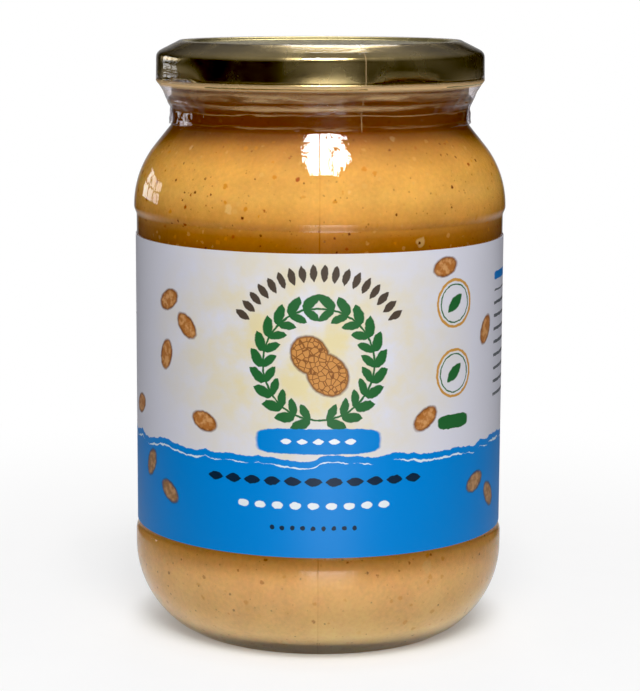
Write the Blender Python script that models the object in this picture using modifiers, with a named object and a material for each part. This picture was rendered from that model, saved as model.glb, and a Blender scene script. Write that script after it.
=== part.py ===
"""A glass jar of peanut butter: the jar, its filling, a tinplate twist-off lid, a paper label and a shrink band.

Units are metres, +Z is up, and the origin is the middle of the jar's base. The front is the -Y side.
"""

import math

import bpy
import numpy as np

# Driving dimensions of the glass
BODY_RADIUS = 0.0408
BULGE_RADIUS = 0.04136
WALL = 0.0026
HEEL_ARC = 0.0215
HEEL_CENTRE_HEIGHT = 0.0185
LOWER_BULGE_TOP = 0.0215
PANEL_BOTTOM = 0.0237
PANEL_TOP = 0.0930
SHOULDER_BASE = 0.0950
SHOULDER_ARC = 0.0212
SHOULDER_ANGLE = 38.8
NECK_RADIUS = 0.0326
NECK_FILLET = 0.0032
BEAD_RADIUS = 0.0337
BEAD_MIDDLE = 0.1184
BEAD_HALF_HEIGHT = 0.0010
FINISH_RADIUS = 0.0330
RIM_HEIGHT = 0.1297
RIM_ROUND = 0.0008
BEARING_INNER = 0.0278
PUSH_UP = 0.0028
UNDERSIDE_STEPS = 3
FLOOR_CENTRE = 0.0070
FLOOR_EDGE = 0.0047
FLOOR_RADIUS = 0.0300

# Driving dimensions of the filling
FILL_LEVEL = 0.1215
FILL_GAP = 0.0003

# Driving dimensions of the label
LABEL_BOTTOM = 0.0242
LABEL_TOP = 0.0888
LABEL_OUTER = 0.04105
LABEL_THICKNESS = 0.00015

# Driving dimensions of the lid
LID_WALL = 0.0003
LID_RADIUS = 0.03613
SKIRT_TOP = 0.1277
CORNER_RADIUS = 0.0016
BEVEL_OUTER = 0.0351
BEVEL_FOOT = 0.12925
CREST_OUTER = 0.0311
CREST_INNER = 0.0294
CREST_HEIGHT = 0.13125
BEVEL_TILT = math.atan2(CREST_HEIGHT - BEVEL_FOOT, BEVEL_OUTER - CREST_OUTER)
PANEL_RADIUS = 0.0284
PANEL_HEIGHT = 0.1306
CURL_RADIUS = 0.00075
CURL_STANDS_PROUD = 0.00012
CURL_HEIGHT = 0.12265
SKIRT_FOOT = 0.1238
LUG_ANGLES = (30, 120, 210, 300)
LUG_HALF_ANGLE = 13.0
LUG_DEPTH = 0.0015
LUG_RISE = 0.0007

# Driving dimensions of the shrink band
FILM = 0.0001
FILM_GAP = 0.0001
FILM_TOP_EDGE = 0.0306
FILM_TUCK = 0.0002
FILM_OFF_BEAD = 0.0011
FILM_OVER_BEAD = 0.0021
FILM_UNDER_BEAD = 0.0018
FILM_NECK_RADIUS = 0.0331
FILM_ABOVE_FILLET = 0.0004
FILM_HEM_FLARE = 0.0003
FILM_BOTTOM = 0.1130

SEGMENTS = 60
MERGE = 0.00001


def clear_scene():
    for item in list(bpy.data.objects):
        bpy.data.objects.remove(item, do_unlink=True)


def arc(centre, radius, start, end, steps):
    """Points of an arc as (radius, height). At 0 degrees the point lies outwards of the centre, at 90 above."""
    angles = np.radians(np.linspace(start, end, steps + 1))
    return [(centre[0] + radius * math.cos(a), centre[1] + radius * math.sin(a)) for a in angles]


def neck_foot():
    """The height where the fillet above the straight part of the shoulder turns upright into the neck."""
    tilt = math.radians(SHOULDER_ANGLE)
    arc_end_radius = BULGE_RADIUS - SHOULDER_ARC * (1 - math.cos(tilt))
    arc_end_height = SHOULDER_BASE + SHOULDER_ARC * math.sin(tilt)
    fillet_start_radius = NECK_RADIUS + NECK_FILLET * (1 - math.cos(tilt))
    straight = (arc_end_radius - fillet_start_radius) / math.tan(tilt)
    return arc_end_height + straight + NECK_FILLET * math.sin(tilt)


def side_line(depth, fillet_steps, shoulder_steps, heel_steps, heel_end):
    """The side of the jar from the foot of the neck down to the heel, this far inside the outer face."""
    neck = arc(
        (NECK_RADIUS + NECK_FILLET, neck_foot()),
        NECK_FILLET + depth,
        180,
        180 + SHOULDER_ANGLE,
        fillet_steps,
    )
    shoulder = arc(
        (BULGE_RADIUS - SHOULDER_ARC, SHOULDER_BASE),
        SHOULDER_ARC - depth,
        SHOULDER_ANGLE,
        0,
        shoulder_steps,
    )
    step_middle = (BODY_RADIUS + BULGE_RADIUS) / 2 - depth
    panel = [
        (step_middle, (PANEL_TOP + SHOULDER_BASE) / 2),
        (BODY_RADIUS - depth, PANEL_TOP),
        (BODY_RADIUS - depth, PANEL_BOTTOM),
        (BULGE_RADIUS - depth, LOWER_BULGE_TOP),
    ]
    heel = arc(
        (BULGE_RADIUS - HEEL_ARC, HEEL_CENTRE_HEIGHT),
        HEEL_ARC - depth,
        0,
        -heel_end,
        heel_steps,
    )
    return neck + shoulder + panel + heel


def heel_angle(depth, height):
    """How far round the heel's arc comes down to this height, in degrees."""
    return math.degrees(math.asin((HEEL_CENTRE_HEIGHT - height) / (HEEL_ARC - depth)))


def turned(name, profile, collection):
    """An object whose profile, a list of (radius, height), turns once round the Z axis."""
    edges = [(i, i + 1) for i in range(len(profile) - 1)]
    mesh = bpy.data.meshes.new(name)
    mesh.from_pydata([(r, 0.0, z) for r, z in profile], edges, [])
    item = bpy.data.objects.new(name, mesh)
    collection.objects.link(item)
    screw = item.modifiers.new("turn", "SCREW")
    screw.axis = "Z"
    screw.angle = math.radians(360)
    screw.steps = SEGMENTS
    screw.render_steps = SEGMENTS
    screw.use_merge_vertices = True
    screw.merge_threshold = MERGE
    screw.use_smooth_shade = True
    return item


def thickened(item, thickness):
    """Gives a turned sheet its thickness, inwards from the face drawn."""
    wall = item.modifiers.new("wall", "SOLIDIFY")
    wall.thickness = thickness
    wall.offset = -1
    wall.use_even_offset = True
    wall.use_rim = True


def finished(name, colour, roughness, metallic=0.0, transmission=0.0, alpha=1.0, ior=1.45):
    material = bpy.data.materials.new(name)
    material.use_nodes = True
    shader = material.node_tree.nodes["Principled BSDF"]
    shader.inputs["Base Color"].default_value = (*colour, 1.0)
    shader.inputs["Roughness"].default_value = roughness
    shader.inputs["Metallic"].default_value = metallic
    shader.inputs["Transmission Weight"].default_value = transmission
    shader.inputs["Alpha"].default_value = alpha
    shader.inputs["IOR"].default_value = ior
    return material


def build_jar(collection):
    """The glass: a recessed label panel between two bulges, a round heel, a pushed-up base and a bead under the lid."""
    inner_end = heel_angle(WALL, FLOOR_EDGE + WALL / 2)
    inner = side_line(WALL, 2, 3, 3, inner_end)
    bore = NECK_RADIUS - WALL
    rim = arc((FINISH_RADIUS - RIM_ROUND, RIM_HEIGHT - RIM_ROUND), RIM_ROUND, 90, 0, 1)
    bead = [
        (FINISH_RADIUS, BEAD_MIDDLE + BEAD_HALF_HEIGHT),
        (BEAD_RADIUS, BEAD_MIDDLE + BEAD_HALF_HEIGHT / 3),
        (BEAD_RADIUS, BEAD_MIDDLE - BEAD_HALF_HEIGHT / 3),
        (NECK_RADIUS, BEAD_MIDDLE - BEAD_HALF_HEIGHT),
    ]
    outer = side_line(0, 2, 6, 6, heel_angle(0, 0))
    floor = [(0.0, FLOOR_CENTRE), (FLOOR_RADIUS, FLOOR_EDGE)]
    shares = [1 - step / UNDERSIDE_STEPS for step in range(UNDERSIDE_STEPS + 1)]
    underside = [(BEARING_INNER * share, PUSH_UP * (1 - share**2)) for share in shares]
    mouth = [(bore, RIM_HEIGHT - RIM_ROUND), (bore + RIM_ROUND, RIM_HEIGHT)]
    profile = floor + inner[::-1] + mouth + rim + bead + outer + underside
    jar = turned("jar", profile, collection)
    jar.data.materials.append(finished("soda_lime_glass", (0.93, 0.95, 0.94), 0.02, transmission=1.0, ior=1.52))


def build_filling(collection):
    """The peanut butter, which fills the jar from its floor up to just under the lid."""
    depth = WALL + FILL_GAP
    side = side_line(depth, 2, 3, 3, heel_angle(depth, FLOOR_EDGE + WALL / 2 + FILL_GAP))
    top = [(0.0, FILL_LEVEL), (NECK_RADIUS - depth, FILL_LEVEL)]
    bottom = [(FLOOR_RADIUS, FLOOR_EDGE + FILL_GAP), (0.0, FLOOR_CENTRE + FILL_GAP)]
    filling = turned("peanut_butter", top + side + bottom, collection)
    filling.data.materials.append(finished("peanut_butter", (0.45, 0.22, 0.07), 0.45))


def build_label(collection):
    """The paper label, wrapped once round the recessed panel."""
    label = turned("label", [(LABEL_OUTER, LABEL_TOP), (LABEL_OUTER, LABEL_BOTTOM)], collection)
    thickened(label, LABEL_THICKNESS)
    label.data.materials.append(finished("label_paper", (0.72, 0.74, 0.78), 0.4))


def bevel_line(depth):
    """The lid's bevel, from the edge of the raised ring down to the corner, this far inside the outer face."""
    crest_end = (CREST_OUTER - depth * math.tan(BEVEL_TILT / 2), CREST_HEIGHT - depth)
    foot = (BEVEL_OUTER - depth * math.sin(BEVEL_TILT), BEVEL_FOOT - depth * math.cos(BEVEL_TILT))
    return [crest_end, foot]


def crown_line(depth):
    """The lid's top and corner, from its middle out and down, this far inside the outer face."""
    top = [
        (0.0, PANEL_HEIGHT - depth),
        (PANEL_RADIUS, PANEL_HEIGHT - depth),
        (CREST_INNER, CREST_HEIGHT - depth),
    ]
    corner_centre = (LID_RADIUS - CORNER_RADIUS, SKIRT_TOP)
    return top + bevel_line(depth) + arc(corner_centre, CORNER_RADIUS - depth, 70, 0, 2)


def press_lugs(mesh):
    """Pushes the rolled edge of the lid inwards and a little up at each lug."""
    for vertex in mesh.vertices:
        share = min(max((SKIRT_FOOT - vertex.co.z) / (SKIRT_FOOT - CURL_HEIGHT), 0), 1)
        if share == 0:
            continue
        angle = math.degrees(math.atan2(vertex.co.y, vertex.co.x)) % 360
        away = min(min(abs(angle - lug), 360 - abs(angle - lug)) for lug in LUG_ANGLES)
        if away >= LUG_HALF_ANGLE:
            continue
        press = share * (1 + math.cos(math.pi * away / LUG_HALF_ANGLE)) / 2
        radius = math.hypot(vertex.co.x, vertex.co.y)
        scale = (radius - LUG_DEPTH * press) / radius
        vertex.co = (vertex.co.x * scale, vertex.co.y * scale, vertex.co.z + LUG_RISE * press)


def build_lid(collection):
    """The tinplate lid: a recessed panel, a raised ring, a bevel, a plain skirt and a rolled edge with four lugs."""
    curl_centre = (LID_RADIUS + CURL_STANDS_PROUD - CURL_RADIUS, CURL_HEIGHT)
    outer = crown_line(0)
    outer.append((LID_RADIUS, SKIRT_FOOT))
    curl = arc(curl_centre, CURL_RADIUS, 20, -220, 5)
    inner = crown_line(LID_WALL)[::-1]
    inner.insert(0, (LID_RADIUS - LID_WALL, SKIRT_FOOT))
    pattern = turned("lid_pattern", outer + curl + inner, collection)
    graph = bpy.context.evaluated_depsgraph_get()
    mesh = bpy.data.meshes.new_from_object(pattern.evaluated_get(graph))
    bpy.data.objects.remove(pattern, do_unlink=True)
    mesh.name = "lid"
    press_lugs(mesh)
    lid = bpy.data.objects.new("lid", mesh)
    collection.objects.link(lid)
    mesh.materials.append(finished("gold_lacquered_tinplate", (0.32, 0.25, 0.10), 0.25, metallic=1.0))


def build_shrink_band(collection):
    """The clear film, shrunk from the lid's raised ring over the skirt and down to the foot of the neck."""
    lift = FILM + FILM_GAP
    corner = arc((LID_RADIUS - CORNER_RADIUS, SKIRT_TOP), CORNER_RADIUS + lift, 60, 0, 2)
    over_lid = [(FILM_TOP_EDGE, CREST_HEIGHT + lift)] + bevel_line(-lift) + corner
    curl_face = LID_RADIUS + CURL_STANDS_PROUD + lift
    under_lid = [
        (curl_face, CURL_HEIGHT + CURL_RADIUS / 2),
        (curl_face - FILM_TUCK, CURL_HEIGHT - CURL_RADIUS),
        (BEAD_RADIUS + FILM_OFF_BEAD, BEAD_MIDDLE + FILM_OVER_BEAD),
        (BEAD_RADIUS + lift, BEAD_MIDDLE + BEAD_HALF_HEIGHT / 2),
        (BEAD_RADIUS + lift, BEAD_MIDDLE - BEAD_HALF_HEIGHT / 2),
        (FILM_NECK_RADIUS, BEAD_MIDDLE - FILM_UNDER_BEAD),
        (FILM_NECK_RADIUS, neck_foot() - FILM_ABOVE_FILLET),
        (FILM_NECK_RADIUS + FILM_HEM_FLARE, FILM_BOTTOM),
    ]
    band = turned("shrink_band", over_lid + under_lid, collection)
    thickened(band, FILM)
    band.data.materials.append(finished("shrink_film", (0.9, 0.9, 0.92), 0.12, alpha=0.3))


def main():
    clear_scene()
    collection = bpy.data.collections.new("peanut_butter_jar")
    bpy.context.scene.collection.children.link(collection)
    build_jar(collection)
    build_filling(collection)
    build_label(collection)
    build_lid(collection)
    build_shrink_band(collection)


main()
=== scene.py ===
"""The looks of a glass jar of crunchy peanut butter with a gold lid, a paper label and a clear shrink band.

Units are metres, +Z is up, and the front of the jar is its -Y side.
"""

import math

import bpy
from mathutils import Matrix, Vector, noise


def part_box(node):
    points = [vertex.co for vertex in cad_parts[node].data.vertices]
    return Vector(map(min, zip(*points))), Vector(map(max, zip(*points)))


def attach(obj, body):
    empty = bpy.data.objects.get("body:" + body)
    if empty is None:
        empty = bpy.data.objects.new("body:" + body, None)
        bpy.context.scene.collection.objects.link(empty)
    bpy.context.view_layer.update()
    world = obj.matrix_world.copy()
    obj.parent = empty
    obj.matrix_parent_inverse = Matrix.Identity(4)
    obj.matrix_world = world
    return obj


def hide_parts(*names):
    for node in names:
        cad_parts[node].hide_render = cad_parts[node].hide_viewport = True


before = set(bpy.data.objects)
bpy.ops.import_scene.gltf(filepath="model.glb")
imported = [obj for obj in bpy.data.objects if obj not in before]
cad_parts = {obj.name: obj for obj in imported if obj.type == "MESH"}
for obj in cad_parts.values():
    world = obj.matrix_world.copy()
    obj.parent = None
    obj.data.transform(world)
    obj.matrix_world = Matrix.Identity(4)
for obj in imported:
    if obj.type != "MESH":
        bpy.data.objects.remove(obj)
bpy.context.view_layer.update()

MM = 0.001

# Sizes read from the frame
BULGE_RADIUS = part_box("jar")[1][0]
RIM_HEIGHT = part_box("jar")[1][2]
LABEL_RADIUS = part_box("label")[1][0]
LABEL_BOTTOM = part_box("label")[0][2]
LABEL_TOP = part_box("label")[1][2]
FILL_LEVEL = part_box("peanut_butter")[1][2]
CURL_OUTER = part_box("lid")[1][0]
CREST_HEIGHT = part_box("lid")[1][2]
FILM_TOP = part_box("shrink_band")[1][2]
FILM_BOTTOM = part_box("shrink_band")[0][2]

# The glass
PANEL_RECESS = 0.56 * MM
BODY_RADIUS = BULGE_RADIUS - PANEL_RECESS
WALL = 2.6 * MM
PANEL_BOTTOM = 23.7 * MM
LOWER_BULGE_TOP = 21.5 * MM
PANEL_TOP = 93.0 * MM
SHOULDER_BASE = 95.0 * MM
SHOULDER_ARC = 21.2 * MM
SHOULDER_ANGLE = 38.8
NECK_RADIUS = 32.6 * MM
NECK_FILLET = 3.2 * MM
BEAD_RADIUS = 33.7 * MM
BEAD_MIDDLE = 118.4 * MM
BEAD_HALF_HEIGHT = 1.0 * MM
FINISH_RADIUS = 33.0 * MM
RIM_ROUND = 0.8 * MM
HEEL_ARC = 21.5 * MM
HEEL_CENTRE_HEIGHT = 18.5 * MM
HEEL_FOOT = 1.5 * MM
BEARING_OUTER = 30.2 * MM
BEARING_INNER = 27.8 * MM
BEARING_ROUND = 0.9 * MM
PUSH_UP = 2.8 * MM
FLOOR_EDGE = 4.7 * MM
FLOOR_CENTRE = 7.0 * MM
FLOOR_RADIUS = 30.0 * MM

# The filling
FILL_BITE = 0.15 * MM

# The label
PAPER = 0.12 * MM
STRIP_ANGLE = 358.0
LAP_ANGLE = 7.0
LAP_RISE = 0.13 * MM

# The lid
TINPLATE = 0.3 * MM
LID_RADIUS = 36.13 * MM
SKIRT_TOP = 127.7 * MM
CORNER_RADIUS = 1.6 * MM
BEVEL_OUTER = 35.1 * MM
BEVEL_FOOT = 129.25 * MM
CREST_OUTER = 31.1 * MM
CREST_INNER = 29.4 * MM
LID_PANEL_RADIUS = 28.4 * MM
LID_PANEL_DROP = 0.65 * MM
CURL_RADIUS = 0.75 * MM
CURL_HEIGHT = 122.65 * MM
SKIRT_FOOT = 123.8 * MM
LUG_ANGLES = (30, 120, 210, 300)
LUG_CORE = 2.2 * MM
LUG_REACH = 8.2 * MM
LUG_DEPTH = 1.5 * MM
LUG_RISE = 0.7 * MM

# The shrink band
FILM = 0.06 * MM
FILM_LIFT = 0.14 * MM
FILM_TOP_EDGE = 30.6 * MM
FILM_NECK_RADIUS = 33.1 * MM
FILM_HEM_FLARE = 0.3 * MM
CRUMPLE_START = 6 * MM
CRUMPLE_SIZE = 3 * MM
CRUMPLE_DEPTH = 0.35 * MM

# The label's print: distance round the label from the middle of the artwork, and height, in millimetres.
# The label was stuck on with its artwork a little left of the front.
LABEL_SHIFT = 1.2
WREATH = (0, 65.6)
WREATH_RADIUS = 11.8
LEAF_ARCH_RADIUS = 19.2
SEALS = ((32, 77), (32, 62))
# Kernels on the white and on the blue, each with its turn in degrees
KERNEL_SIZE = (3.4, 2.1)
KERNELS = (
    (-37, 77, 25),
    (-31, 72, -40),
    (-38, 65, 75),
    (-26, 52, -15),
    (24, 53, 35),
    (29, 85, 10),
    (44, 70, 60),
    (-52, 52, 20),
)
BAND_KERNELS = ((40, 37, 20), (47, 33, -50), (-37, 35, -30), (-45, 40, 60))

# Bands of painted reflection on the film in front, where its folds mirror the bright room: height, half width
# and strength, in millimetres
FILM_GLINT_BANDS = ((120.4, 1.2, 0.62), (118.2, 0.7, 0.5), (116.6, 0.25, 0.35), (114.0, 0.3, 0.16))
WELD_BEARING = 13.5

# The key softbox: watts to a square metre, and rows as left end, right end and height over its middle
KEY_POWER = 90
KEY_ROWS = ((-0.19, 0.19, 0.15), (-0.18, 0.16, 0.05), (-0.17, 0.125, -0.05), (-0.15, 0.095, -0.15))
KEY_ROW_HEIGHT = 0.1
KEY_BAR = (0.045, 0.062)

SEGMENTS = 240
MERGE = 0.01 * MM


def arc(centre, radius, start, end, steps):
    """Points of an arc as (radius, height), with 0 degrees outwards of the centre and 90 above it."""
    points = []
    for step in range(steps + 1):
        angle = math.radians(start + (end - start) * step / steps)
        points.append((centre[0] + radius * math.cos(angle), centre[1] + radius * math.sin(angle)))
    return points


def eased(start, end, steps):
    """Points of an S-shaped step between two points, upright at both ends."""
    points = []
    for step in range(steps + 1):
        share = step / steps
        ease = share * share * (3 - 2 * share)
        radius = start[0] + (end[0] - start[0]) * ease
        points.append((radius, start[1] + (end[1] - start[1]) * share))
    return points


def between(start, end, steps):
    """Points evenly spaced on a straight line, without its first point."""
    return [
        (start[0] + (end[0] - start[0]) * step / steps, start[1] + (end[1] - start[1]) * step / steps)
        for step in range(1, steps + 1)
    ]


def neck_foot():
    """The height where the fillet above the straight part of the shoulder turns upright into the neck."""
    tilt = math.radians(SHOULDER_ANGLE)
    arc_end_radius = BULGE_RADIUS - SHOULDER_ARC * (1 - math.cos(tilt))
    arc_end_height = SHOULDER_BASE + SHOULDER_ARC * math.sin(tilt)
    fillet_start_radius = NECK_RADIUS + NECK_FILLET * (1 - math.cos(tilt))
    straight = (arc_end_radius - fillet_start_radius) / math.tan(tilt)
    return arc_end_height + straight + NECK_FILLET * math.sin(tilt)


def heel_angle(depth, height):
    """How far round the heel's arc comes down to this height, in degrees."""
    return math.degrees(math.asin((HEEL_CENTRE_HEIGHT - height) / (HEEL_ARC - depth)))


def side_line(depth, heel_end):
    """The side of the jar from the foot of the neck down to the heel, this far inside the outer face."""
    neck_centre = (NECK_RADIUS + NECK_FILLET, neck_foot())
    neck = arc(neck_centre, NECK_FILLET + depth, 180, 180 + SHOULDER_ANGLE, 10)
    shoulder_centre = (BULGE_RADIUS - SHOULDER_ARC, SHOULDER_BASE)
    shoulder = arc(shoulder_centre, SHOULDER_ARC - depth, SHOULDER_ANGLE, 0, 18)
    bulge = BULGE_RADIUS - depth
    body = BODY_RADIUS - depth
    upper_step = eased((bulge, SHOULDER_BASE), (body, PANEL_TOP), 6)
    lower_step = eased((body, PANEL_BOTTOM), (bulge, LOWER_BULGE_TOP), 4)
    heel_centre = (BULGE_RADIUS - HEEL_ARC, HEEL_CENTRE_HEIGHT)
    heel = arc(heel_centre, HEEL_ARC - depth, 0, -heel_end, 24)
    return neck + shoulder + upper_step[1:] + lower_step + heel


def start_piece(name):
    """A new object in edit mode that holds one vertex at the origin."""
    bpy.ops.object.select_all(action="DESELECT")
    bpy.ops.mesh.primitive_plane_add(size=MM, location=(0, 0, 0))
    piece = bpy.context.object
    piece.name = name
    piece.data.name = name
    bpy.ops.object.mode_set(mode="EDIT")
    bpy.ops.mesh.select_all(action="SELECT")
    bpy.ops.mesh.merge(type="CENTER")
    return piece


def draw_profile(points):
    """Moves the one vertex to the first point and extrudes it from point to point, in the XZ plane."""
    bpy.ops.transform.translate(value=(points[0][0], 0, points[0][1]))
    for here, there in zip(points, points[1:]):
        move = (there[0] - here[0], 0, there[1] - here[1])
        if math.hypot(*move) < MERGE:
            continue
        bpy.ops.mesh.extrude_vertices_move(TRANSFORM_OT_translate={"value": move})


def turned(name, points, segments=SEGMENTS):
    """A piece whose profile turns once round the Z axis, with its seam and poles closed."""
    piece = start_piece(name)
    draw_profile(points)
    bpy.ops.mesh.select_all(action="SELECT")
    bpy.ops.mesh.spin(steps=segments, angle=math.radians(360), center=(0, 0, 0), axis=(0, 0, 1))
    bpy.ops.mesh.select_all(action="SELECT")
    bpy.ops.mesh.remove_doubles(threshold=MERGE / 2)
    bpy.ops.mesh.normals_make_consistent(inside=False)
    bpy.ops.object.mode_set(mode="OBJECT")
    bpy.ops.object.shade_smooth_by_angle(angle=math.radians(50))
    return piece


def apply_wall(piece, thickness, offset):
    """Gives an open sheet its thickness: at -1 inwards from its face, at 1 outwards."""
    wall = piece.modifiers.new("wall", "SOLIDIFY")
    wall.thickness = thickness
    wall.offset = offset
    wall.use_even_offset = True
    bpy.context.view_layer.objects.active = piece
    bpy.ops.object.modifier_apply(modifier=wall.name)


def select_vertices(piece, chosen):
    """Selects in edit mode the vertices for which chosen(place) is true."""
    bpy.ops.object.mode_set(mode="EDIT")
    bpy.ops.mesh.select_mode(type="VERT")
    bpy.ops.mesh.select_all(action="DESELECT")
    bpy.ops.object.mode_set(mode="OBJECT")
    for vertex in piece.data.vertices:
        vertex.select = chosen(vertex.co)
    bpy.ops.object.mode_set(mode="EDIT")


def linear(hex_code):
    """An sRGB colour such as "d8a060" as linear RGBA."""
    channels = [int(hex_code[i : i + 2], 16) / 255 for i in (0, 2, 4)]
    return (*[c / 12.92 if c <= 0.04045 else ((c + 0.055) / 1.055) ** 2.4 for c in channels], 1.0)


def add(tree, kind, inputs=None, out=0, **settings):
    """Adds a shader node with its settings and inputs, and returns one of its outputs, or with "all" each."""
    item = tree.nodes.new("ShaderNode" + kind)
    for name, value in settings.items():
        setattr(item, name, value)
    for key, value in (inputs or {}).items():
        if isinstance(value, bpy.types.NodeSocket):
            tree.links.new(value, item.inputs[key])
        else:
            item.inputs[key].default_value = value
    return item.outputs if out == "all" else item.outputs[out]


def new_material(name):
    """An empty node material and its output node."""
    material = bpy.data.materials.new(name)
    material.use_nodes = True
    tree = material.node_tree
    tree.nodes.clear()
    output = tree.nodes.new("ShaderNodeOutputMaterial")
    return material, tree, output


def all_of(tree, masks, operation="MAXIMUM"):
    """Several masks as one: any of them, or with MULTIPLY only where all of them are."""
    joined = masks[0]
    for mask in masks[1:]:
        joined = add(tree, "Math", {0: joined, 1: mask}, operation=operation)
    return joined


def soft_band(tree, height, middle, half, strength):
    """A band at this height, in millimetres, that fades out over its half width."""
    off = add(tree, "Math", {0: height, 1: middle * MM}, operation="SUBTRACT")
    reach = add(tree, "Math", {0: off}, operation="ABSOLUTE")
    return add(
        tree,
        "MapRange",
        {"Value": reach, "From Min": half * MM, "From Max": 0.0, "To Max": strength},
        interpolation_type="SMOOTHSTEP",
    )


def bearing_from_front(tree, x, y):
    """How far round from the front a place lies, in radians, positive to the right."""
    forward = add(tree, "Math", {0: y, 1: -1.0}, operation="MULTIPLY")
    return add(tree, "Math", {0: x, 1: forward}, operation="ARCTAN2")


def mould_seam(tree, place, height):
    """The seam left by a two-part mould, front and back: its low ridge, and a painted dark line for the
    shadow that the ridge throws on the filling.
    """
    # In front it lies 1.1 mm left of the middle.
    across = add(tree, "VectorMath", {0: place, 1: (1.0, -0.027, 0.0)}, out="Value", operation="DOT_PRODUCT")
    off_seam = add(tree, "Math", {0: across}, operation="ABSOLUTE")
    ridge = add(
        tree,
        "MapRange",
        {"Value": off_seam, "From Min": 0.3 * MM, "From Max": 0.0, "To Max": 0.7},
        interpolation_type="SMOOTHSTEP",
    )
    line = add(tree, "MapRange", {"Value": off_seam, "From Min": 0.2 * MM, "From Max": 0.08 * MM})
    # The painted shadow line stands out most at the two steps of the label panel.
    steps = all_of(tree, [soft_band(tree, height, 92, 8, 1.0), soft_band(tree, height, 22, 4, 0.8)])
    clearest = add(tree, "Math", {0: steps, 1: 0.3}, operation="MAXIMUM")
    return ridge, all_of(tree, [line, clearest], "MULTIPLY")


def soda_lime_glass():
    """Flint container glass, blown in a two-part mould: clear with a trace of grey-green, faintly wavy."""
    material, tree, output = new_material("soda_lime_glass")
    place = add(tree, "TexCoord", out="Object")
    wave = add(tree, "TexNoise", {"Vector": place, "Scale": 1 / (9 * MM), "Detail": 1.0})
    upright = add(tree, "Mapping", {"Vector": place, "Scale": (1.0, 1.0, 0.3)})
    ripple = add(tree, "TexNoise", {"Vector": upright, "Scale": 1 / (1.5 * MM), "Detail": 2.0})
    fine = add(tree, "Math", {0: ripple, 1: 0.9}, operation="MULTIPLY")
    height = add(tree, "SeparateXYZ", {0: place}, out="Z")
    ridge, seam_painted_shadow = mould_seam(tree, place, height)
    # Painted shadow: along the seam the glass's tint turns brown.
    tint = add(tree, "Mix", {0: seam_painted_shadow, 6: linear("f4f7f3"), 7: linear("c4a078")}, out=2, data_type="RGBA")
    relief = all_of(tree, [wave, fine, ridge], "ADD")
    bump = add(tree, "Bump", {"Height": relief, "Strength": 0.12, "Distance": 0.4 * MM})
    glass = add(
        tree,
        "BsdfPrincipled",
        {"Base Color": tint, "Roughness": 0.0, "IOR": 1.52, "Transmission Weight": 1.0, "Normal": bump},
    )
    # Lamps and the bounce light reach the filling straight through the wall.
    rays = add(tree, "LightPath", out="all")
    lit = all_of(tree, [rays["Is Shadow Ray"], rays["Is Diffuse Ray"]])
    clear = add(tree, "BsdfTransparent", {"Color": linear("f6f8f5")})
    surface = add(tree, "MixShader", {0: lit, 1: glass, 2: clear})
    tree.links.new(surface, output.inputs["Surface"])
    return material


def paste_with_painted_shade(tree, height):
    """The paste's colour with painted light and shade by height: paler low down, where the floor lights it,
    and on the shoulder, and a deeper amber beside the label and under the lid, where little light enters.
    """
    # Height in millimetres and colour
    shade_stops_by_height = (
        (0, "ffd8a0"),
        (7, "ffce8e"),
        (18, "fcbe7a"),
        (22.5, "f2ac5a"),
        (25, "d08c38"),
        (88, "b87420"),
        (91.5, "b87420"),
        (94.3, "dc9a48"),
        (99.5, "ecb25c"),
        (105, "e4a64e"),
        (109.5, "bc7c30"),
        (112.5, "9c540e"),
        (116, "9c5816"),
        (121.5, "a06020"),
    )
    share = add(tree, "Math", {0: height, 1: FILL_LEVEL}, operation="DIVIDE")
    ramp = tree.nodes.new("ShaderNodeValToRGB")
    tree.links.new(share, ramp.inputs["Fac"])
    for order, (level, hex_code) in enumerate(shade_stops_by_height):
        stops = ramp.color_ramp.elements
        stop = stops[order] if order < 2 else stops.new(1.0)
        stop.position = level * MM / FILL_LEVEL
        stop.color = linear(hex_code)
    return ramp.outputs["Color"]


def with_specks(tree, place, height, colour):
    """The paste's colour with specks of red skin and paler bits of nut in it."""
    # Low in the jar and under the neck they show less.
    low = {"Value": height, "From Min": 18 * MM, "From Max": 26 * MM, "To Min": 0.55}
    high = {"Value": height, "From Min": 113 * MM, "From Max": 105 * MM, "To Min": 0.3}
    settled = all_of(tree, [add(tree, "MapRange", low), add(tree, "MapRange", high)], "MULTIPLY")
    # Each kind: spacing and largest radius in millimetres, the share of cells that have one, strength, colour
    kinds = (
        (2.6, 0.70, 0.6, 0.4, "e8b464"),
        (8.0, 1.60, 0.7, 0.5, "f2cc88"),
        (3.0, 0.72, 0.6, 0.75, "d8881c"),
        (1.3, 0.27, 0.8, 0.6, "98581c"),
        (3.4, 0.60, 0.7, 0.9, "a84c14"),
        (2.7, 0.46, 0.8, 0.95, "6c2a10"),
    )
    for order, (spacing, largest, frequency, strength, hex_code) in enumerate(kinds):
        moved = add(tree, "VectorMath", {0: place, 1: (0.1 * order, 0.07, 0.03)}, operation="ADD")
        uneven = {"Vector": place, "Scale": 1 / (largest * MM), "Detail": 1.0}
        ragged = add(tree, "TexNoise", uneven, out="Color")
        reach = (largest * MM,) * 3
        pushed = add(tree, "VectorMath", {0: ragged, 1: reach, 2: moved}, operation="MULTIPLY_ADD")
        cells = add(tree, "TexVoronoi", {"Vector": pushed, "Scale": 1 / (spacing * MM)}, out="all")
        chances = add(tree, "SeparateColor", {0: cells["Color"]}, out="all")
        present = add(tree, "Math", {0: chances["Red"], 1: frequency}, operation="LESS_THAN")
        widest = largest / spacing
        size = add(tree, "MapRange", {"Value": chances["Green"], "To Min": widest * 0.35, "To Max": widest})
        inside = add(tree, "Math", {0: size, 1: cells["Distance"]}, operation="SUBTRACT")
        soft_edge = (0.08 + largest * 0.2) / spacing
        spot = add(tree, "MapRange", {"Value": inside, "From Max": soft_edge, "To Max": strength})
        mask = all_of(tree, [spot, present, settled], "MULTIPLY")
        colour = add(tree, "Mix", {0: mask, 6: colour, 7: linear(hex_code)}, out=2, data_type="RGBA")
    return colour


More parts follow.
